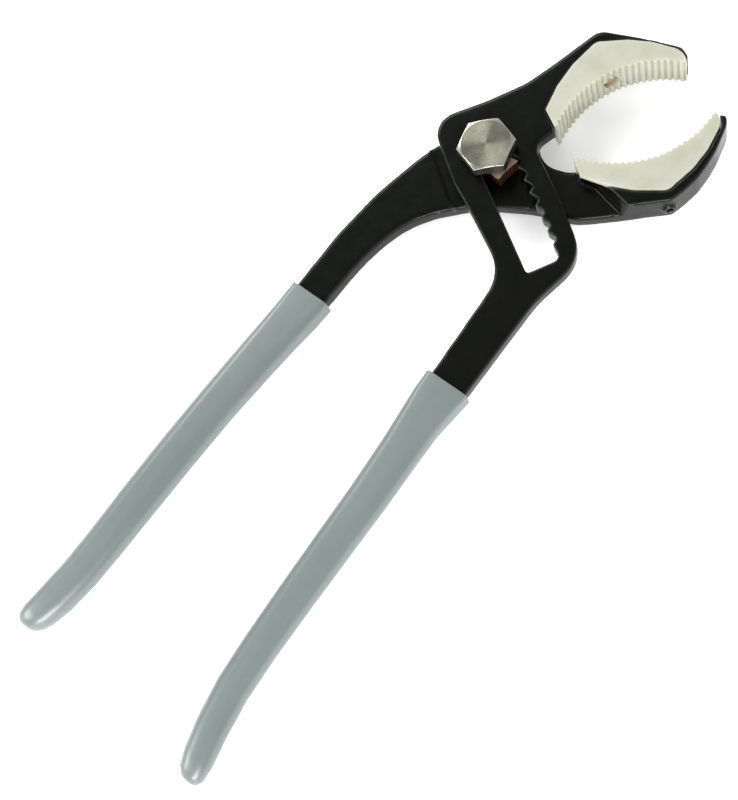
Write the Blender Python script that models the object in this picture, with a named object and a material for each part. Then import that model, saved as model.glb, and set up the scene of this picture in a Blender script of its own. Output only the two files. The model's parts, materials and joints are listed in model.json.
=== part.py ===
"""Soft-jaw slip-joint pliers: two forged levers, a slotted rack, a keyed block on the pivot bolt,
two screwed-in nylon jaws and two dipped grips.

Frame: origin at the centre of the pivot bolt's end face, +Z along the bolt to its head,
+X along the tool to the jaws. Every dimension below is in millimetres.
"""

import math

import bmesh
import bpy
from mathutils import Matrix, Vector

MM = 0.001
GAP = 0.3                       # clearance left between touching pieces

# Heights, stacked up from the end face of the bolt
NUT_PROUD = 0.8
NUT_HEIGHT = 3.2
REAR_BACK = 3.3
BACK_RECESS = 2.5
REAR_PLATE = 6.0
FRONT_PLATE = 5.65
JAW_THICKNESS = 12.0
THRUST_WASHER = 0.6
HEAD_HEIGHT = 4.3
REAR_FRONT = REAR_BACK + REAR_PLATE
JAW_FRONT = REAR_BACK + JAW_THICKNESS
FRONT_BACK = JAW_FRONT - FRONT_PLATE
WASHER_Z = JAW_FRONT + GAP
HEAD_Z = WASHER_Z + THRUST_WASHER + GAP
HEAD_TOP = HEAD_Z + HEAD_HEIGHT
MIDDLE = (REAR_BACK + JAW_FRONT) / 2

# Pivot
SHANK_R = 2.8
HEAD_ACROSS_FLATS = 15.5
HEAD_FACE_R = 7.5
HEAD_CHAMFER = 0.9
HEAD_BARREL_R = 9.8
HEAD_TURN = 13.0                # degrees from +X to the first corner
NUT_ACROSS_FLATS = 10.0
THRUST_WASHER_R = 7.5
SPRING_WASHER_R = 5.0
SPRING_WASHER_SPLIT = 1.2
BACK_RECESS_R = 8.75
REAR_BOSS_R = 14.8
JAW_STEP_R = 21.0               # the front jaw is full thickness only outside this radius
RECESS_DEPTH = 0.3              # the rear lever is this much thinner where the front one lies on it

# Slot, in its own frame: s runs down the slot from the bolt, t across it towards the rack
SLOT_ANGLE = -121.2
SLOT_TOP = -7.7
SLOT_BOTTOM = 40.6
SLOT_SIDE = -4.5
RACK_TIP = 5.8
RACK_VALLEY = 7.75
RACK_PITCH = 4.51
RACK_FIRST_TIP = -0.51
RACK_TEETH = 9
RACK_FLANK = 2.9                # the long flank of each tooth, along s

# Block, in its own frame: u along its arm, v across it
BLOCK_ANGLE = SLOT_ANGLE + 19.0
BLOCK_BOSS_R = 4.1
BLOCK_Z = REAR_FRONT + GAP
BLOCK_THICKNESS = 5.0
KEY_DEPTH = 1.6
KEY = (-3.0, 7.0, 3.4)          # near and far end along u, half width

# Soft jaw, in its own frame: x along its chord from the throat to the tip, y out into the steel
JAW_CHORD = 42.8
JAW_SAGITTA = 8.3
SERRATIONS = 25
SERRATION_DEPTH = 0.8
SOFT_JAW_PROUD = 0.4
FLANGE = 1.5
FLANGE_LAP = 2.0
CORE_HEEL = (0.1, 3.0)          # where the core turns in from the throat end, to make room for the web
CORE_TIP = (41.0, 6.0)          # past this x and below this y the core fills the jaw's tip again
WEB_DROP = 0.7                  # the web's rough top, below the lever's face
WEB_MARGIN = 0.03               # more than the gap, so that no two faces lie on one plane
SCREW_X = 22.2
SCREW_R = 1.5
SCREW_HEAD_R = 2.2
SCREW_TIP_Y = 21.0
TAIL_HOLE_R = 1.1
TAIL_BOSS = (2.0, 19.0, 23.8)   # radius, near and far end
COUNTERBORE_R = 2.6
COUNTERBORE_Y = 12.2
UPPER_JAW = ((16.4, -13.0), -27.85, 1)
LOWER_JAW = ((12.6, -21.6), -38.3, -1)

ARC_STEP = math.radians(12)

parts = bpy.data.collections.new("Soft_jaw_slip_joint_pliers")


def clear_scene():
    for obj in list(bpy.data.objects):
        bpy.data.objects.remove(obj, do_unlink=True)
    bpy.context.scene.collection.children.link(parts)


def material(name, color, roughness, metallic=0.0):
    made = bpy.data.materials.new(name)
    made.use_nodes = True
    shader = made.node_tree.nodes["Principled BSDF"]
    shader.inputs["Base Color"].default_value = (*color, 1.0)
    shader.inputs["Roughness"].default_value = roughness
    shader.inputs["Metallic"].default_value = metallic
    return made


# ---- outlines ----------------------------------------------------------------------------------

def arc(start, middle, end, step=ARC_STEP):
    """Points on the circle through three points, without the last one."""
    (ax, ay), (bx, by), (cx, cy) = start, middle, end
    d = 2 * (ax * (by - cy) + bx * (cy - ay) + cx * (ay - by))
    a2, b2, c2 = ax * ax + ay * ay, bx * bx + by * by, cx * cx + cy * cy
    ux = (a2 * (by - cy) + b2 * (cy - ay) + c2 * (ay - by)) / d
    uy = (a2 * (cx - bx) + b2 * (ax - cx) + c2 * (bx - ax)) / d
    first = math.atan2(ay - uy, ax - ux)
    sweep = (math.atan2(cy - uy, cx - ux) - first) % math.tau
    if (math.atan2(by - uy, bx - ux) - first) % math.tau > sweep:
        sweep -= math.tau
    count = max(2, math.ceil(abs(sweep) / step))
    radius = math.hypot(ax - ux, ay - uy)
    angles = [first + sweep * i / count for i in range(count)]
    return [(ux + radius * math.cos(a), uy + radius * math.sin(a)) for a in angles]


def circle(radius, start=0.0, end=360.0, count=48):
    """Points about the bolt from one angle to another, in degrees, without the last one."""
    angles = [math.radians(start + (end - start) * i / count) for i in range(count)]
    return [(radius * math.cos(a), radius * math.sin(a)) for a in angles]


def rounded(corners):
    """A closed outline from corners (x, y, radius), each turned by an arc of that radius."""
    outline = []
    for i, (x, y, radius) in enumerate(corners):
        if not radius:
            outline.append((x, y))
            continue
        here = Vector((x, y))
        before = Vector(corners[i - 1][:2]) - here
        after = Vector(corners[(i + 1) % len(corners)][:2]) - here
        half = before.angle(after) / 2
        reach = min(radius / math.tan(half), 0.49 * before.length, 0.49 * after.length)
        start = here + before.normalized() * reach
        end = here + after.normalized() * reach
        inward = (before.normalized() + after.normalized()).normalized()
        turn = reach * math.tan(half)
        middle = here + inward * (reach / math.cos(half) - turn)
        outline += arc(start, middle, end) + [tuple(end)]
    return outline


def placed(points, origin, degrees, mirror=1):
    """Points of a local frame in the tool's frame. Mirror -1 turns local y to the other hand."""
    c, s = math.cos(math.radians(degrees)), math.sin(math.radians(degrees))
    return [
        (origin[0] + c * x - s * y * mirror, origin[1] + s * x + c * y * mirror) for x, y in points
    ]


def square(points):
    """Corners without a radius."""
    return [(x, y, 0) for x, y in points]


def grown(outline, distance):
    """The closed outline moved outwards by distance, or inwards where it is negative."""
    area = sum(a[0] * b[1] - b[0] * a[1] for a, b in zip(outline, outline[1:] + outline[:1]))
    side = math.copysign(1, area)
    moved = []
    for i, point in enumerate(outline):
        here = Vector(point)
        into = (here - Vector(outline[i - 1])).normalized()
        out = (Vector(outline[(i + 1) % len(outline)]) - here).normalized()
        normal = Vector((into.y + out.y, -into.x - out.x)).normalized() * side
        spread = max(0.5, normal.dot(Vector((into.y, -into.x)) * side))
        moved.append(tuple(here + normal * distance / spread))
    return moved


# ---- solids ------------------------------------------------------------------------------------

def solid(name, mesh):
    """An object from a closed mesh, its vertices welded and its faces turned outwards."""
    work = bmesh.new()
    work.from_mesh(mesh)
    bmesh.ops.remove_doubles(work, verts=work.verts, dist=0.001 * MM)
    bmesh.ops.recalc_face_normals(work, faces=work.faces)
    work.to_mesh(mesh)
    work.free()
    mesh.name = name
    mesh.materials.clear()
    obj = bpy.data.objects.new(name, mesh)
    parts.objects.link(obj)
    return obj


def prism(name, outline, low, high):
    """A flat outline made solid from low to high."""
    curve = bpy.data.curves.new(name, "CURVE")
    curve.dimensions = "2D"
    curve.fill_mode = "BOTH"
    curve.extrude = (high - low) / 2 * MM
    spline = curve.splines.new("POLY")
    spline.points.add(len(outline) - 1)
    for point, (x, y) in zip(spline.points, outline):
        point.co = (x * MM, y * MM, 0, 1)
    spline.use_cyclic_u = True
    drawn = bpy.data.objects.new(name, curve)
    drawn.location.z = (high + low) / 2 * MM
    parts.objects.link(drawn)
    bpy.context.view_layer.update()
    graph = bpy.context.evaluated_depsgraph_get()
    mesh = bpy.data.meshes.new_from_object(drawn.evaluated_get(graph))
    mesh.transform(drawn.matrix_world)
    bpy.data.objects.remove(drawn)
    bpy.data.curves.remove(curve)
    return solid(name, mesh)


def loft(name, rings):
    """A closed skin over rings of points, capped at both ends."""
    work = bmesh.new()
    rows = [[work.verts.new(Vector(p) * MM) for p in ring] for ring in rings]
    for one, two in zip(rows, rows[1:]):
        for i in range(len(one)):
            j = (i + 1) % len(one)
            work.faces.new((one[i], one[j], two[j], two[i]))
    work.faces.new(rows[0])
    work.faces.new(rows[-1])
    mesh = bpy.data.meshes.new(name)
    work.to_mesh(mesh)
    work.free()
    return solid(name, mesh)


def turned(name, profile, count=48):
    """A solid about the bolt from (radius, height) pairs, bottom to top."""
    return loft(name, [[(x, y, z) for x, y in circle(r, count=count)] for r, z in profile])


def tube(name, radius, bore, low, high, count=40):
    ring = prism(name, circle(radius, count=count), low, high)
    cut(ring, prism("bore", circle(bore, count=32), low - 1, high + 1))
    return ring


def boolean(obj, other, operation):
    """One exact Boolean with another object, which goes away."""
    modifier = obj.modifiers.new(operation.title(), "BOOLEAN")
    modifier.operation = operation
    modifier.solver = "EXACT"
    modifier.object = other
    bpy.context.view_layer.update()
    graph = bpy.context.evaluated_depsgraph_get()
    mesh = bpy.data.meshes.new_from_object(obj.evaluated_get(graph))
    obj.modifiers.remove(modifier)
    old = obj.data
    name = obj.name
    obj.data = mesh
    bpy.data.meshes.remove(old)
    mesh.name = name
    bpy.data.objects.remove(other)


def cut(obj, *others):
    for other in others:
        boolean(obj, other, "DIFFERENCE")


def join(obj, *others):
    for other in others:
        boolean(obj, other, "UNION")


def finish(obj, made_of, smooth_below=35):
    obj.data.materials.clear()
    obj.data.materials.append(made_of)
    obj.data.shade_smooth()
    obj.data.set_sharp_from_angle(angle=math.radians(smooth_below))
    return obj


# ---- soft jaws ---------------------------------------------------------------------------------

def flange_back():
    """The flange's back edge, from the throat end over the corner to the tip."""
    return (
        [(0.0, 0.0)]
        + arc((0.2, 7.4), (10.6, 15.1), (21.4, 19.3))
        + arc((21.4, 19.3), (23.3, 19.5), (25.0, 18.8))
        + arc((25.0, 18.8), (35.0, 13.2), (42.1, 6.1))
        + arc((42.1, 6.1), (43.3, 3.2), (JAW_CHORD, 0.3))
        + [(JAW_CHORD, 0.3)]
    )


def core_back():
    """The back edge between the flanges, set in where the steel web enters."""
    back = flange_back()
    inset = grown(back + [(JAW_CHORD / 2, 6.0)], -FLANGE_LAP - GAP)
    tip_x, tip_y = CORE_TIP
    return [back[0], CORE_HEEL] + [
        full if full[0] > tip_x and full[1] < tip_y else inner
        for full, inner in list(zip(back, inset))[1:]
    ]


def gripping_edge():
    """The serrated inner edge, from the tip back to the throat end."""
    radius = (JAW_CHORD**2 / 4 + JAW_SAGITTA**2) / (2 * JAW_SAGITTA)
    half = math.asin(JAW_CHORD / 2 / radius)
    points = []
    for i in range(2 * SERRATIONS + 1):
        angle = half - 2 * half * i / (2 * SERRATIONS)
        reach = radius + (SERRATION_DEPTH if i % 2 else 0)
        across = JAW_CHORD / 2 + reach * math.sin(angle)
        points.append((across, JAW_SAGITTA - radius + reach * math.cos(angle)))
    return points[1:-1]


def jaw_way(name, frame, radius, near, far, count=24):
    """A cylinder on the jaw screw's axis, between two distances from the chord."""
    (ax, ay), (bx, by) = placed([(SCREW_X, near), (SCREW_X, far)], *frame)
    along = Vector((bx - ax, by - ay, 0))
    middle = Vector(((ax + bx) / 2, (ay + by) / 2, MIDDLE)) * MM
    turn = along.to_track_quat("Z", "Y").to_matrix().to_4x4()
    work = bmesh.new()
    bmesh.ops.create_cone(
        work, cap_ends=True, segments=count, radius1=radius * MM, radius2=radius * MM,
        depth=along.length * MM, matrix=Matrix.Translation(middle) @ turn,
    )
    mesh = bpy.data.meshes.new(name)
    work.to_mesh(mesh)
    work.free()
    return solid(name, mesh)


def soft_jaw(name, frame, nylon):
    low, high = REAR_BACK - SOFT_JAW_PROUD, JAW_FRONT + SOFT_JAW_PROUD
    flange = placed(flange_back() + gripping_edge(), *frame)
    core = placed(core_back() + gripping_edge(), *frame)
    jaw = prism(name, flange, low, REAR_BACK + FLANGE - GAP)
    join(jaw, prism("core", core, low + 0.4, high - 0.4))
    join(jaw, prism("flange", flange, JAW_FRONT - FLANGE + GAP, high))
    cut(jaw, jaw_way("counterbore", frame, COUNTERBORE_R, 0, COUNTERBORE_Y))
    cut(jaw, jaw_way("screw_way", frame, SCREW_R + GAP, COUNTERBORE_Y - 1, 40))
    return finish(jaw, nylon, 25)


def jaw_screw(name, frame, steel):
    screw = jaw_way(name, frame, SCREW_R, COUNTERBORE_Y - 1, SCREW_TIP_Y)
    join(screw, jaw_way("screw_head", frame, SCREW_HEAD_R, 9.8, COUNTERBORE_Y - GAP))
    return finish(screw, steel)


def seat_soft_jaw(lever, frame):
    """Cuts the steel back to a web between the flanges, with the screw's hole through it."""
    def pocket(back, low, high, gap=GAP):
        outline = grown([(0, -3.0), *back, (JAW_CHORD, -3.0)], gap)
        return prism("pocket", placed(outline, *frame), low, high)

    join(lever, jaw_way("boss", frame, *TAIL_BOSS))
    cut(lever, pocket(core_back(), REAR_BACK - 2, JAW_FRONT + 2, GAP + WEB_MARGIN))
    cut(lever, pocket(flange_back(), REAR_BACK - 2, REAR_BACK + FLANGE))
    cut(lever, pocket(flange_back(), JAW_FRONT - FLANGE, JAW_FRONT + 2))
    cut(lever, jaw_way("screw_way", frame, SCREW_R + GAP, 8, SCREW_TIP_Y + GAP))
    cut(lever, jaw_way("tail_way", frame, TAIL_HOLE_R, SCREW_TIP_Y - 1, 40))


# ---- levers ------------------------------------------------------------------------------------

def web_path(frame):
    """A way through the soft jaw's core, from the throat end to the tip."""
    return placed([(1.4, 3.4), (10.0, 9.6), (21.4, 13.0), (32.0, 9.8), (41.0, 4.0)], *frame)


def slot_outline():
    points = [(SLOT_TOP, SLOT_SIDE, 0), (SLOT_BOTTOM, SLOT_SIDE, 1.0), (SLOT_BOTTOM, RACK_TIP + 0.4, 1.8)]
    for tooth in reversed(range(RACK_TEETH)):
        tip = RACK_FIRST_TIP + RACK_PITCH * tooth
        if tooth < RACK_TEETH - 1:
            points.append((tip + RACK_FLANK, RACK_VALLEY, 0))
        points.append((tip, RACK_TIP, 0))
    points.append((SLOT_TOP, RACK_TIP, 0))
    return placed(rounded(points), (0, 0), SLOT_ANGLE)


def section(x, y, z, half_width, half_height, corner, per_corner=7):
    """A rounded rectangle across the tool at x."""
    ring = []
    for quarter, (sy, sz) in enumerate([(1, 1), (-1, 1), (-1, -1), (1, -1)]):
        for i in range(per_corner):
            angle = math.radians(90 * (quarter + i / (per_corner - 1)))
            ring.append((
                x,
                y + sy * (half_width - corner) + corner * math.cos(angle),
                z + sz * (half_height - corner) + corner * math.sin(angle),
            ))
    return ring


REAR_TANG = [
    (-64.0, 20.0, 6.3, 4.9, 2.6, 1.2),
    (-72.0, 20.3, 6.4, 4.7, 2.6, 1.2),
    (-92.0, 21.7, 7.0, 4.3, 2.6, 1.4),
    (-126.0, 23.0, 7.9, 4.0, 2.6, 1.6),
    (-160.0, 23.4, 8.2, 3.8, 2.6, 1.6),
    (-182.0, 24.9, 8.2, 3.2, 2.4, 1.6),
]
FRONT_TANG = [
    (-64.0, -33.4, 12.5, 5.3, 2.45, 1.2),
    (-72.0, -32.8, 12.3, 4.6, 2.4, 1.2),
    (-88.0, -33.2, 11.8, 3.9, 2.4, 1.4),
    (-122.0, -34.1, 10.9, 3.6, 2.5, 1.6),
    (-156.0, -34.9, 10.5, 3.4, 2.5, 1.6),
    (-186.0, -38.8, 10.4, 2.9, 2.3, 1.6),
]


def front_lever(steel):
    outline = rounded(
        [
            (*placed([(44.2, 1.2)], *UPPER_JAW)[0], 0.6),
            (58.3, -28.6, 2.5),
            (54.2, -15.6, 30),
            (49.9, -4.4, 4.5),
            (32.7, 0.9, 60),
            (24.0, 4.0, 20),
            (13.1, 10.6, 40),
            (-1.2, 20.9, 7.0),
            (-14.0, 2.6, 20),
            (-18.3, -6.6, 20),
            (-28.7, -26.0, 13),
            (-67.0, -27.6, 0),
            (-67.0, -39.7, 0),
            (-30.5, -39.6, 30),
            (-11.8, -43.2, 11.5),
            (-0.3, -26.3, 30),
            (9.0, -10.2, 4.0),
        ]
        + square([(15.9, -12.5)] + web_path(UPPER_JAW))
    )
    lever = prism("front_lever", outline, REAR_BACK, JAW_FRONT)
    step = circle(JAW_STEP_R, 35, -45, 12)
    thin = step + [(step[-1][0], -70), (-90, -70), (-90, 70), (step[0][0], 70)]
    cut(lever, prism("thin_side", thin, REAR_BACK - 1, FRONT_BACK))
    cut(lever, prism("slot", slot_outline(), FRONT_BACK - 1, JAW_FRONT + 1))
    seat_soft_jaw(lever, UPPER_JAW)
    join(lever, loft("tang", [section(*row) for row in FRONT_TANG]))
    return finish(lever, steel)


def rear_lever(steel):
    outline = (
        rounded(
            [(9.53, -11.34, 0), (7.7, -15.4, 6), (9.2, -21.0, 5)]
            + square(web_path(LOWER_JAW))
            + [
                (45.6, -50.1, 0.6),
                (47.3, -51.6, 1.2),
                (44.6, -53.6, 5),
                (36.0, -55.7, 20),
                (26.0, -56.6, 30),
                (16.2, -53.9, 2.0),
                (11.6, -48.4, 20),
                (6.6, -42.9, 20),
                (-2.8, -31.6, 30),
                (-5.0, -22.0, 30),
                (-15.3, -2.6, 60),
                (-30.0, 9.8, 45),
                (-46.0, 13.7, 60),
                (-67.0, 14.6, 0),
                (-67.0, 25.3, 0),
                (-45.6, 25.1, 60),
                (-27.5, 23.1, 60),
                (-11.2, 19.1, 40),
                (-3.0, 16.1, 10),
                (3.08, 14.48, 0),
            ]
        )
        + circle(REAR_BOSS_R, 78, -50, 22)[1:]
    )
    lever = prism("rear_lever", outline, REAR_BACK, JAW_FRONT)
    foot = [(10.2, -27.5), (10.1, -29.8), (8.5, -35.7), (6.6, -43.6), (5.6, -46.6)]
    brow = [(10.7, -29.0), (10.1, -35.4), (9.3, -39.8), (8.5, -43.8), (7.8, -46.8)]
    around = [(-30, -70), (-90, -70), (-90, 70), (60, 70), (60, -5), (16, -20), (12.0, -25.0)]
    cut(lever, loft("thin_side", [
        [(x, y, REAR_FRONT) for x, y in foot + around],
        [(x, y, JAW_FRONT + 0.1) for x, y in brow + around],
    ]))
    toe = [(x + 0.1, y) for x, y in foot]
    step = [(-3, -60), (-25, -12), (-18.2, -0.8), (-17.7, 2.7), (-7.2, 17.6), (-6, 40), (16, 40)]
    recess = toe + step + [(16.3, -20), (12.2, -25.0)]
    cut(lever, prism("recess", recess, REAR_FRONT - RECESS_DEPTH, REAR_FRONT + 0.5))
    web = placed([(0.8, 1.0), (0.8, 7.0), (4.9, 10.7), (9.4, 13.2), (14, 15.2), (14, 8)], *LOWER_JAW)
    join(lever, prism("web", web, REAR_FRONT - 1, JAW_FRONT - WEB_DROP))
    seat_soft_jaw(lever, LOWER_JAW)
    cut(lever, prism("bolt_way", circle(SHANK_R + GAP, count=32), REAR_BACK - 1, JAW_FRONT))
    cut(lever, prism("back_recess", circle(BACK_RECESS_R), REAR_BACK - 1, REAR_BACK + BACK_RECESS))
    cut(lever, key("key_way", GAP, REAR_FRONT - KEY_DEPTH, REAR_FRONT + 1))
    join(lever, loft("tang", [section(*row) for row in REAR_TANG]))
    return finish(lever, steel)


# ---- pivot -------------------------------------------------------------------------------------

def key(name, margin, low, high):
    """The flat-sided key under the block, or with a margin the way it sits in."""
    near, far, half = KEY
    corners = [(near, -half), (far, -half), (far, half), (near, half)]
    return prism(name, placed(grown(corners, margin), (0, 0), BLOCK_ANGLE), low, high)


def slide_block(steel):
    low, high = BLOCK_Z, BLOCK_Z + BLOCK_THICKNESS
    arm = [(0.0, -4.0), (7.84, -4.0), (8.8, -3.4), (8.35, -1.2), (8.3, 1.4), (8.38, 4.3)]
    arm += [(6.0, 3.64), (3.6, 3.55), (0.0, 3.4)]
    block = prism("slide_block", circle(BLOCK_BOSS_R, count=40), low, high)
    join(block, prism("arm", placed(arm, (0, 0), BLOCK_ANGLE), low, high))
    join(block, key("key", 0.0, REAR_FRONT - KEY_DEPTH + GAP, low + 1))
    cut(block, prism("bore", circle(SHANK_R + GAP, count=32), REAR_BACK, high + 1))
    return finish(block, steel)


def pivot_bolt(steel):
    corner_r = HEAD_ACROSS_FLATS / math.sqrt(3)
    bolt = prism("pivot_bolt", circle(corner_r, HEAD_TURN, HEAD_TURN + 360, 6), HEAD_Z, HEAD_TOP)
    barrel = [(HEAD_BARREL_R, HEAD_Z - 1), (HEAD_BARREL_R, HEAD_TOP - HEAD_CHAMFER)]
    barrel += [(HEAD_FACE_R, HEAD_TOP), (2.0, HEAD_TOP + 3)]
    boolean(bolt, turned("barrel", barrel, 60), "INTERSECT")
    join(bolt, prism("shank", circle(SHANK_R, count=32), 0, HEAD_Z + 1))
    return finish(bolt, steel)


def pivot_nut(steel):
    corner_r = NUT_ACROSS_FLATS / math.sqrt(3)
    low, high = NUT_PROUD, NUT_PROUD + NUT_HEIGHT
    nut = prism("pivot_nut", circle(corner_r, 4, 364, 6), low, high)
    cut(nut, prism("bore", circle(SHANK_R + GAP, count=32), low - 1, high + 1))
    return finish(nut, steel)


def washers(steel):
    low = NUT_PROUD + NUT_HEIGHT + GAP
    high = REAR_BACK + BACK_RECESS - GAP
    spring = tube("spring_washer", SPRING_WASHER_R, SHANK_R + GAP, low, high)
    half = SPRING_WASHER_SPLIT / 2
    split = placed([(0, -half), (9, -half), (9, half), (0, half)], (0, 0), 205)
    cut(spring, prism("split", split, low - 1, high + 1))
    finish(spring, steel)
    thrust = tube("head_washer", THRUST_WASHER_R, SHANK_R + GAP, WASHER_Z, WASHER_Z + THRUST_WASHER)
    return finish(thrust, steel)


# ---- grips -------------------------------------------------------------------------------------

REAR_GRIP = [
    (-64.5, 20.0, 6.3, 6.6, 4.3, 1.9),
    (-72.0, 20.3, 6.4, 6.5, 4.5, 2.4),
    (-80.0, 20.9, 6.7, 6.4, 4.6, 3.1),
    (-92.0, 21.7, 7.0, 6.3, 4.7, 3.6),
    (-108.0, 22.5, 7.5, 6.1, 4.8, 3.9),
    (-126.0, 23.0, 7.9, 6.1, 4.8, 4.1),
    (-144.0, 23.3, 8.1, 6.0, 4.9, 4.2),
    (-160.0, 23.4, 8.2, 5.8, 4.9, 4.3),
    (-172.0, 23.8, 8.2, 5.7, 4.9, 4.3),
    (-182.0, 24.9, 8.2, 5.6, 4.9, 4.4),
    (-188.5, 26.0, 8.2, 5.2, 4.7, 4.3),
    (-191.5, 26.6, 8.2, 4.4, 4.0, 3.7),
    (-193.2, 26.9, 8.2, 3.0, 2.8, 2.6),
    (-193.7, 27.0, 8.2, 1.5, 1.4, 1.3),
]
FRONT_GRIP = [
    (-64.5, -33.4, 12.5, 7.2, 4.2, 1.8),
    (-71.0, -33.1, 12.4, 6.9, 4.4, 2.3),
    (-78.0, -33.0, 12.2, 6.4, 4.5, 3.1),
    (-88.0, -33.4, 11.8, 6.1, 4.5, 3.5),
    (-104.0, -33.9, 11.3, 5.9, 4.6, 3.8),
    (-122.0, -34.1, 10.9, 5.7, 4.7, 4.0),
    (-140.0, -34.4, 10.6, 5.5, 4.7, 4.1),
    (-156.0, -34.9, 10.5, 5.3, 4.7, 4.1),
    (-170.0, -35.8, 10.4, 5.2, 4.7, 4.2),
    (-182.0, -37.8, 10.4, 5.1, 4.7, 4.3),
    (-190.5, -39.9, 10.4, 4.9, 4.5, 4.2),
    (-195.0, -41.0, 10.4, 4.2, 3.9, 3.6),
    (-197.0, -41.5, 10.4, 2.9, 2.7, 2.5),
    (-197.6, -41.6, 10.4, 1.5, 1.4, 1.3),
]


def grip(name, rows, tang, mouth, vinyl):
    """A dipped sleeve: the outer skin less the handle's shape and its clearance."""
    sleeve = loft(name, [section(*row) for row in rows])
    y, z, half_width, half_height = mouth
    way = [(-60.0, y, z, half_width, half_height, 0.3), (-68.0, y, z, half_width, half_height, 0.3)]
    way += [(x, y, z, w + GAP, h + GAP, c) for x, y, z, w, h, c in tang[1:]]
    x, y, z, w, h, c = way[-1]
    way[-1] = (x - 1.0, y, z, w, h, c)
    cut(sleeve, loft("way", [section(*row) for row in way]))
    return finish(sleeve, vinyl, 50)


# ---- build -------------------------------------------------------------------------------------

def main():
    clear_scene()
    front_lever(material("front_lever", (0.021, 0.022, 0.018), 0.42, 0.35))
    rear_lever(material("rear_lever", (0.021, 0.022, 0.018), 0.42, 0.35))
    soft_jaw("upper_soft_jaw", UPPER_JAW, material("upper_soft_jaw", (0.66, 0.66, 0.54), 0.45))
    soft_jaw("lower_soft_jaw", LOWER_JAW, material("lower_soft_jaw", (0.66, 0.66, 0.54), 0.45))
    jaw_screw("upper_jaw_screw", UPPER_JAW, material("upper_jaw_screw", (0.5, 0.42, 0.33), 0.4, 1))
    jaw_screw("lower_jaw_screw", LOWER_JAW, material("lower_jaw_screw", (0.5, 0.42, 0.33), 0.4, 1))
    mouth = (20.0, 6.3, 5.75, 3.35)
    grip("rear_grip", REAR_GRIP, REAR_TANG, mouth, material("rear_grip", (0.23, 0.29, 0.31), 0.3))
    mouth = (-33.65, 12.48, 6.4, 3.15)
    grip("front_grip", FRONT_GRIP, FRONT_TANG, mouth, material("front_grip", (0.23, 0.29, 0.31), 0.3))
    pivot_bolt(material("pivot_bolt", (0.42, 0.39, 0.33), 0.32, 1))
    slide_block(material("slide_block", (0.42, 0.34, 0.27), 0.45, 1))
    washers(material("washers", (0.45, 0.43, 0.4), 0.35, 1))
    pivot_nut(material("pivot_nut", (0.42, 0.39, 0.33), 0.35, 1))


main()
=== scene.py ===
"""Soft-jaw slip-joint pliers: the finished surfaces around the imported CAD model.

The CAD solids give every place and size. Each is copied, given the rounded edges of a forging or
a moulding, and a procedural material. Lengths are in metres.
"""

import json
import math

import bmesh
import bpy
import numpy as np
from mathutils import Matrix, Vector
from mathutils.bvhtree import BVHTree


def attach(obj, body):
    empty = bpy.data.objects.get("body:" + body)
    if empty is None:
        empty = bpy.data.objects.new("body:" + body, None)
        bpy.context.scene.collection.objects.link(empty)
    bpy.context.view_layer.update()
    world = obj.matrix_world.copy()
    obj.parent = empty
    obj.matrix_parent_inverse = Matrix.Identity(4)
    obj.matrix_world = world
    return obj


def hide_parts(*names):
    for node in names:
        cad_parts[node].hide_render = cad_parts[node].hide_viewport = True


MM = 0.001

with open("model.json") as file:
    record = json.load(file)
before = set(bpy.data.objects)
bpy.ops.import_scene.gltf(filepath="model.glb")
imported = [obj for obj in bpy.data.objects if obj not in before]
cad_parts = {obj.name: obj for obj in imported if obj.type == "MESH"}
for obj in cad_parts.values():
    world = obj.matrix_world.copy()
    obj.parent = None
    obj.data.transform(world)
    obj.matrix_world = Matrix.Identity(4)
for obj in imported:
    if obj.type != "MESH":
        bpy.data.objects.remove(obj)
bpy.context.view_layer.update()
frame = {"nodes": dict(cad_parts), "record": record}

BODY = {
    node: body for body, nodes in frame["record"]["behaviour"]["bodies"].items() for node in nodes
}
SLOT = {row["node"]: row["material_slot"] for row in frame["record"]["subparts"]}


# ---- node helpers ------------------------------------------------------------------------------

# The colour sockets of a Mix node, by number, because its sockets share their names.
MIX_FACTOR, MIX_ONE, MIX_TWO, MIX_RESULT = 0, 6, 7, 2


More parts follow.
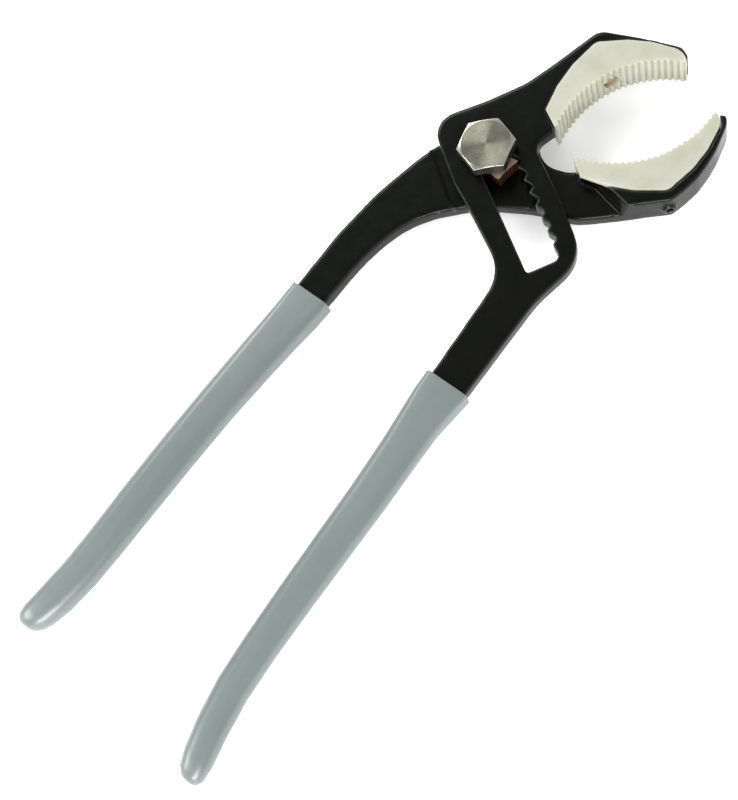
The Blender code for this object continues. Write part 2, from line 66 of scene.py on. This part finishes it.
class Shader:
    """A material's node tree, with short ways to add and link nodes."""

    def __init__(self, name):
        self.material = bpy.data.materials.new(name)
        self.material.use_nodes = True
        self.tree = self.material.node_tree
        self.surface = self.tree.nodes["Principled BSDF"]

    def add(self, kind, **settings):
        node = self.tree.nodes.new(kind)
        for key, value in settings.items():
            setattr(node, key, value)
        return node

    def link(self, source, target):
        self.tree.links.new(source, target)

    def set(self, **values):
        for name, value in values.items():
            self.surface.inputs[name.replace("_", " ")].default_value = value

    def place(self):
        """The point's place in the piece's own coordinates, in metres."""
        return self.add("ShaderNodeTexCoord").outputs["Object"]

    def stretched(self, scale):
        """The place with each coordinate scaled; a pattern made on it is drawn out where the scale
        is small."""
        mapping = self.add("ShaderNodeMapping")
        self.link(self.place(), mapping.inputs["Vector"])
        mapping.inputs["Scale"].default_value = scale
        return mapping.outputs["Vector"]

    def noise(self, scale, detail=4.0, roughness=0.55, vector=None):
        node = self.add("ShaderNodeTexNoise")
        node.inputs["Scale"].default_value = scale
        node.inputs["Detail"].default_value = detail
        node.inputs["Roughness"].default_value = roughness
        self.link(vector or self.place(), node.inputs["Vector"])
        return node.outputs["Fac"]

    def ramp(self, source, stops):
        """The source as a colour, by two stops of (position, colour)."""
        node = self.add("ShaderNodeValToRGB")
        for element, (position, color) in zip(node.color_ramp.elements, stops):
            element.position = position
            element.color = (*color, 1)
        self.link(source, node.inputs["Fac"])
        return node.outputs["Color"]

    def spread(self, source, low, high, start=0.3, end=0.7):
        """The source's stretch from start to end, laid over low to high."""
        node = self.add("ShaderNodeMapRange")
        limits = {"From Min": start, "From Max": end, "To Min": low, "To Max": high}
        for name, value in limits.items():
            node.inputs[name].default_value = value
        self.link(source, node.inputs["Value"])
        return node.outputs["Result"]

    def mix(self, factor, one, two):
        """One where the factor is 0 and two where it is 1: each is a colour or a node's output."""
        node = self.add("ShaderNodeMix", data_type="RGBA")
        self.link(factor, node.inputs[MIX_FACTOR])
        for value, socket in ((one, node.inputs[MIX_ONE]), (two, node.inputs[MIX_TWO])):
            if isinstance(value, tuple):
                socket.default_value = (*value, 1)
            else:
                self.link(value, socket)
        return node.outputs[MIX_RESULT]

    def bump(self, height, distance, strength, below=None):
        """The normal of a surface raised by the height, on top of the normal below."""
        node = self.add("ShaderNodeBump")
        node.inputs["Distance"].default_value = distance
        node.inputs["Strength"].default_value = strength
        self.link(height, node.inputs["Height"])
        if below:
            self.link(below, node.inputs["Normal"])
        return node.outputs["Normal"]

    def tilt(self, low, high):
        """1 where the surface is steep and 0 where it faces up: it changes while the normal's height
        goes from low to high."""
        split = self.add("ShaderNodeSeparateXYZ")
        self.link(self.add("ShaderNodeTexCoord").outputs["Normal"], split.inputs["Vector"])
        return self.spread(split.outputs["Z"], 1, 0, low, high)

    def use(self, name, source):
        self.link(source, self.surface.inputs[name])


# ---- materials ---------------------------------------------------------------------------------

QUARTER_TURN = 0.25             # turns the stretched highlight from along the rings to across them


def black_steel():
    """Blackened forged steel, paler along its edges: partly wear, partly a painted highlight."""
    s = Shader("black_coated_steel")
    s.set(Metallic=0.0, Specular_IOR_Level=0.15, Specular_Tint=(0.92, 1.0, 0.90, 1))
    deep, pale, wear_and_highlight = (0.0006, 0.0007, 0.0004), (0.0013, 0.0014, 0.0009), (0.034, 0.041, 0.035)
    tone = s.ramp(s.noise(scale=90, detail=5), [(0.35, deep), (0.7, pale)])
    # Painted highlight, partly wear: the convex edges are mixed towards a pale colour, as if their
    # rounding catches the light.
    pointiness = s.add("ShaderNodeNewGeometry").outputs["Pointiness"]
    s.use("Base Color", s.mix(s.spread(pointiness, 0, 1, start=0.515, end=0.57), tone, wear_and_highlight))
    s.use("Roughness", s.spread(s.noise(scale=220, detail=3), 0.20, 0.28))
    forged = s.bump(s.noise(scale=260), 0.10 * MM, 0.5)
    grain = s.noise(scale=2400, detail=3, roughness=0.7)
    s.use("Normal", s.bump(grain, 0.03 * MM, 0.5, forged))
    return s.material


def nylon():
    s = Shader("moulded_nylon")
    s.set(Metallic=0.0, IOR=1.5)
    s.set(Subsurface_Weight=0.5, Subsurface_Scale=4 * MM, Subsurface_Radius=(1.0, 0.95, 0.6))
    yellow, grey = (0.335, 0.345, 0.262), (0.385, 0.382, 0.332)
    s.use("Base Color", s.ramp(s.noise(scale=140), [(0.35, yellow), (0.65, grey)]))
    s.use("Roughness", s.spread(s.noise(scale=500, detail=3), 0.34, 0.48))
    s.use("Normal", s.bump(s.noise(scale=900, detail=3), 0.04 * MM, 0.4))
    return s.material


def vinyl():
    s = Shader("dipped_vinyl")
    s.set(Metallic=0.0, Specular_IOR_Level=0.5, Coat_Weight=0.25, Coat_Roughness=0.22)
    along = s.stretched((0.25, 1, 1))
    dark, light = (0.104, 0.129, 0.124), (0.122, 0.149, 0.142)
    s.use("Base Color", s.ramp(s.noise(scale=60, vector=along), [(0.3, dark), (0.7, light)]))
    s.use("Roughness", s.spread(s.noise(scale=300, detail=3), 0.34, 0.44))
    wave = s.bump(s.noise(scale=55, detail=2, vector=along), 0.6 * MM, 0.35)
    s.use("Normal", s.bump(s.noise(scale=1600, detail=3), 0.03 * MM, 0.35, wave))
    return s.material


def turned_steel(name, color, edge):
    """Steel faced on a lathe: fine rings about the bolt, which draw the light out into rays. Its
    chamfers are painted paler as a painted highlight, and its steep sides darker as painted shade.
    """
    s = Shader(name)
    s.set(Metallic=1.0, Anisotropic=0.85, Anisotropic_Rotation=QUARTER_TURN)
    split = s.add("ShaderNodeSeparateXYZ")
    s.link(s.place(), split.inputs["Vector"])
    flat = s.add("ShaderNodeCombineXYZ")
    s.link(split.outputs["X"], flat.inputs["X"])
    s.link(split.outputs["Y"], flat.inputs["Y"])
    length = s.add("ShaderNodeVectorMath", operation="LENGTH")
    s.link(flat.outputs["Vector"], length.inputs[0])
    rings = s.noise(scale=6000, detail=2, vector=length.outputs["Value"])
    stained = tuple(0.72 * c for c in color)
    # Painted shade: the steep sides get a dark copy of the edge colour.
    side = tuple(0.3 * c for c in edge)
    face = s.ramp(s.noise(scale=350), [(0.3, stained), (0.65, color)])
    # Painted highlight: the chamfers, tilted away from the face, take the paler edge colour, as if
    # lit.
    face_with_lit_chamfer = s.mix(s.tilt(0.95, 0.99), face, edge)
    s.use("Base Color", s.mix(s.tilt(0.3, 0.8), face_with_lit_chamfer, side))
    s.use("Roughness", s.spread(rings, 0.22, 0.34))
    s.use("Normal", s.bump(rings, 0.01 * MM, 0.35))
    tangent = s.add("ShaderNodeTangent", direction_type="RADIAL", axis="Z")
    s.use("Tangent", tangent.outputs["Tangent"])
    return s.material


def plated_steel(name, color, dark, side=None):
    """Plated steel, stained in patches; its steep faces take the side colour, if there is one, as
    painted shade.
    """
    s = Shader(name)
    s.set(Metallic=0.85)
    tone = s.ramp(s.noise(scale=300, detail=5), [(0.3, dark), (0.65, color)])
    # Painted shade: steep faces are darkened to the side colour.
    if side:
        tone = s.mix(s.tilt(0.3, 0.8), tone, side)
    s.use("Base Color", tone)
    s.use("Roughness", s.spread(s.noise(scale=700, detail=3), 0.36, 0.52))
    s.use("Normal", s.bump(s.noise(scale=1500, detail=3), 0.03 * MM, 0.4))
    return s.material


MATERIAL = {
    "lever_steel": black_steel(),
    "jaw_nylon": nylon(),
    "screw_steel": plated_steel("screw_steel", (0.60, 0.42, 0.28), (0.42, 0.27, 0.17)),
    "grip_vinyl": vinyl(),
    # Bolt: the face colour, then the chamfer's paler colour, which is a painted highlight.
    "bolt_steel": turned_steel("bolt_steel", (0.27, 0.26, 0.21), (0.40, 0.40, 0.34)),
    # Block: its third colour is the painted shade of its steep side walls.
    "block_steel": plated_steel(
        "block_steel", (0.52, 0.43, 0.33), (0.40, 0.31, 0.22), (0.10, 0.035, 0.022)
    ),
}


# ---- pieces ------------------------------------------------------------------------------------

SAME_POINT = 0.002 * MM         # points closer than this are one point
SOFT_JAW_EDGE = 0.18 * MM
GRIP_EDGE = 0.3 * MM
HARDWARE_EDGE = {
    "pivot_bolt": 0.15 * MM,
    "slide_block": 0.25 * MM,
    "head_washer": 0.1 * MM,
    "spring_washer": 0.12 * MM,
    "pivot_nut": 0.2 * MM,
    "upper_jaw_screw": 0.2 * MM,
    "lower_jaw_screw": 0.2 * MM,
}


def copied(node, flat_within=1.0):
    """A copy of a CAD node's mesh, with the triangles of each flat face joined into one again."""
    source = frame["nodes"][node]
    work = bmesh.new()
    work.from_mesh(source.data)
    work.transform(source.matrix_world)
    bmesh.ops.remove_doubles(work, verts=work.verts, dist=SAME_POINT)
    bmesh.ops.dissolve_limit(
        work, angle_limit=math.radians(flat_within), verts=work.verts, edges=work.edges
    )
    mesh = bpy.data.meshes.new(node + "_look")
    work.to_mesh(mesh)
    work.free()
    piece = bpy.data.objects.new(node + "_look", mesh)
    bpy.context.scene.collection.objects.link(piece)
    return piece


def remeshed(piece, size):
    """The piece's surface again as an even net of small squares."""
    grid = piece.modifiers.new("Net", "REMESH")
    grid.mode = "VOXEL"
    grid.voxel_size = size
    grid.use_smooth_shade = True
    graph = bpy.context.evaluated_depsgraph_get()
    net = bpy.data.meshes.new_from_object(piece.evaluated_get(graph))
    piece.modifiers.remove(grid)
    piece.data = net


def relaxed(mesh, share_at, rounds):
    """Evens out the net: round after round each point moves towards the middle of its neighbours,
    and a point stops after its share of the rounds."""
    places = np.empty(len(mesh.vertices) * 3)
    mesh.vertices.foreach_get("co", places)
    places = places.reshape(-1, 3)
    ends = np.empty(len(mesh.edges) * 2, dtype=np.int64)
    mesh.edges.foreach_get("vertices", ends)
    ends = ends.reshape(-1, 2)
    count = np.bincount(ends.ravel(), minlength=len(places))[:, None]
    share = np.array([share_at(Vector(place)) for place in places])
    for step in range(rounds):
        moving = (share * rounds > step)[:, None]
        total = np.zeros_like(places)
        np.add.at(total, ends[:, 0], places[ends[:, 1]])
        np.add.at(total, ends[:, 1], places[ends[:, 0]])
        places = np.where(moving, (1 - PULL) * places + PULL * total / count, places)
    mesh.vertices.foreach_set("co", places.ravel())
    mesh.update()


def dressed(piece, node, bevel=0.0, segments=2, sharp=30.0):
    """Rounds the piece's edges, gives it its material and puts it in the CAD node's place."""
    piece.data.materials.clear()
    piece.data.materials.append(MATERIAL[SLOT[node]])
    piece.data.shade_smooth()
    piece.data.set_sharp_from_angle(angle=math.radians(sharp))
    if bevel:
        rounding = piece.modifiers.new("Rounding", "BEVEL")
        rounding.width = bevel
        rounding.segments = segments
        rounding.limit_method = "ANGLE"
        rounding.angle_limit = math.radians(sharp)
        rounding.harden_normals = True
        rounding.use_clamp_overlap = True
    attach(piece, BODY[node])
    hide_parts(node)


NET = 0.4 * MM                  # the side of a square of the levers' net
ROUNDS = 16
PULL = 0.5                      # how far a point moves towards its neighbours in one round
CRISP = 0.14                    # the share of the rounds where a lever's edges stay crisp
SEAT_REACH = 0.9 * MM           # steel this near to a piece that it holds is part of its seat
HOLES = (                       # where the way of each jaw screw ends, on the jaw's outer side
    Vector((0.0152, -0.0538, 0.0093)),
    Vector((0.0470, -0.0026, 0.0093)),
)
HOLE_REACH = 2.6 * MM

# The part of the front lever that holds the slot, measured from the bolt along the slot and
# across it.
SLOT_DIRECTION = Vector((-0.518, -0.8554, 0))
SLOT_ACROSS = Vector((0.8554, -0.518, 0))
SLOT_ALONG_FROM, SLOT_ALONG_TO = -10 * MM, 42 * MM
SLOT_ACROSS_FROM, SLOT_ACROSS_TO = -6 * MM, 9 * MM

# The rear lever's crisp parts: the ramp up to its jaw, the low step left of the bolt, where the
# lever gets thinner under the front one, and all of it within a radius of the bolt.
RAMP_LEFT = 5.2 * MM
RAMP_FROM, RAMP_TO = -46 * MM, -24 * MM
RAMP_FLOOR = 8 * MM
STEP_RIGHT = -5 * MM
STEP_R = 19.5 * MM
STEP_FLOOR = 8.7 * MM
ABOUT_BOLT_R = 10 * MM


def tree_of(*nodes):
    """A search tree over the faces of some CAD nodes."""
    work = bmesh.new()
    for node in nodes:
        work.from_mesh(frame["nodes"][node].data)
    tree = BVHTree.FromBMesh(work)
    work.free()
    return tree


def levers():
    """Broadly rounded outside, as forged; crisp at the seats, the slot, the ramp and the step."""
    seats = tree_of("upper_soft_jaw", "lower_soft_jaw", "slide_block", "pivot_nut", "spring_washer")

    def near_seat(point):
        in_reach = seats.find_nearest(point, SEAT_REACH)[0] is not None
        return in_reach or any((point - hole).length < HOLE_REACH for hole in HOLES)

    def front_share(point):
        along, across = point.dot(SLOT_DIRECTION), point.dot(SLOT_ACROSS)
        in_length = SLOT_ALONG_FROM < along < SLOT_ALONG_TO
        in_slot = in_length and SLOT_ACROSS_FROM < across < SLOT_ACROSS_TO
        return CRISP if in_slot or near_seat(point) else 1.0

    def rear_share(point):
        from_bolt = math.hypot(point.x, point.y)
        beside_jaw = point.x > RAMP_LEFT and RAMP_FROM < point.y < RAMP_TO
        on_ramp = beside_jaw and point.z > RAMP_FLOOR
        on_step = point.z > STEP_FLOOR and point.x < STEP_RIGHT and from_bolt < STEP_R
        about_bolt = from_bolt < ABOUT_BOLT_R
        return CRISP if on_ramp or on_step or about_bolt or near_seat(point) else 1.0

    for node, share_at in (("front_lever", front_share), ("rear_lever", rear_share)):
        piece = copied(node)
        remeshed(piece, NET)
        relaxed(piece.data, share_at, ROUNDS)
        dressed(piece, node, sharp=70)


def soft_jaws():
    for node in ("upper_soft_jaw", "lower_soft_jaw"):
        dressed(copied(node), node, SOFT_JAW_EDGE, sharp=25)


def grips():
    for node in ("front_grip", "rear_grip"):
        dressed(copied(node, flat_within=0.1), node, GRIP_EDGE, segments=3, sharp=50)


def hardware():
    for node, edge in HARDWARE_EDGE.items():
        dressed(copied(node), node, edge)


# ---- camera, floor and light -------------------------------------------------------------------

EYE = Vector((-0.1340, -0.1744, 0.4611))
CAMERA_FORWARD = Vector((0.1106, 0.3297, -0.9376))
ROLL_REFERENCE = Vector((0.6025, -0.7725, -0.2006))   # the picture's rightward direction
LENS = 80.5                     # in millimetres, as the sensor is
SENSOR = 36.0
NEAREST, FARTHEST = 0.01, 50

FLOOR_REACH = 3.0               # from the middle to each side
FLOOR_Z = -0.5 * MM
FLOOR_COLOR = (0.93, 0.93, 0.93, 1)
FLOOR_GLOW = 0.35
SKY_COLOR = (1, 1, 1, 1)
SKY_STRENGTH = 0.65
LAMP_AIM = Vector((-0.06, 0, 0))
LAMPS = (                       # name, place, size, and power in watts
    ("Key", (-0.72, -0.58, 0.42), (0.55, 0.40), 13),
    ("Fill", (-0.66, 0.53, 0.55), (0.5, 0.4), 7),
    ("Back", (0.28, 0.72, 0.62), (0.75, 0.35), 8),
)


def camera():
    data = bpy.data.cameras.new("Camera")
    data.sensor_fit = "HORIZONTAL"
    data.sensor_width = SENSOR
    data.lens = LENS
    data.clip_start = NEAREST
    data.clip_end = FARTHEST
    eye = bpy.data.objects.new("Camera", data)
    bpy.context.scene.collection.objects.link(eye)
    right = ROLL_REFERENCE.normalized()
    forward = CAMERA_FORWARD.normalized()
    forward = (forward - right * forward.dot(right)).normalized()
    up = right.cross(forward)
    turn = Matrix((right, up, -forward)).transposed()
    eye.matrix_world = Matrix.Translation(EYE) @ turn.to_4x4()
    bpy.context.scene.camera = eye


def area_light(name, place, size, power):
    data = bpy.data.lights.new(name, "AREA")
    data.shape = "RECTANGLE"
    data.size, data.size_y = size
    data.energy = power
    lamp = bpy.data.objects.new(name, data)
    lamp.location = place
    lamp.rotation_euler = (LAMP_AIM - Vector(place)).to_track_quat("-Z", "Y").to_euler()
    bpy.context.scene.collection.objects.link(lamp)


def pale_floor():
    """A pale matt sheet just below the tool, glowing a little, as over a light table."""
    s = Shader("pale_floor")
    s.set(Roughness=0.9, Specular_IOR_Level=0.1, Emission_Strength=FLOOR_GLOW)
    s.set(Base_Color=FLOOR_COLOR, Emission_Color=FLOOR_COLOR)
    work = bmesh.new()
    bmesh.ops.create_grid(work, x_segments=1, y_segments=1, size=FLOOR_REACH)
    bmesh.ops.translate(work, verts=work.verts, vec=(0, 0, FLOOR_Z))
    mesh = bpy.data.meshes.new("Floor")
    work.to_mesh(mesh)
    work.free()
    mesh.materials.append(s.material)
    floor = bpy.data.objects.new("Floor", mesh)
    bpy.context.scene.collection.objects.link(floor)


def studio():
    world = bpy.data.worlds.new("Studio")
    world.use_nodes = True
    sky = world.node_tree.nodes["Background"]
    sky.inputs["Color"].default_value = SKY_COLOR
    sky.inputs["Strength"].default_value = SKY_STRENGTH
    bpy.context.scene.world = world
    bpy.context.scene.view_settings.view_transform = "Standard"
    for lamp in LAMPS:
        area_light(*lamp)


levers()
soft_jaws()
grips()
hardware()
camera()
pale_floor()
studio()
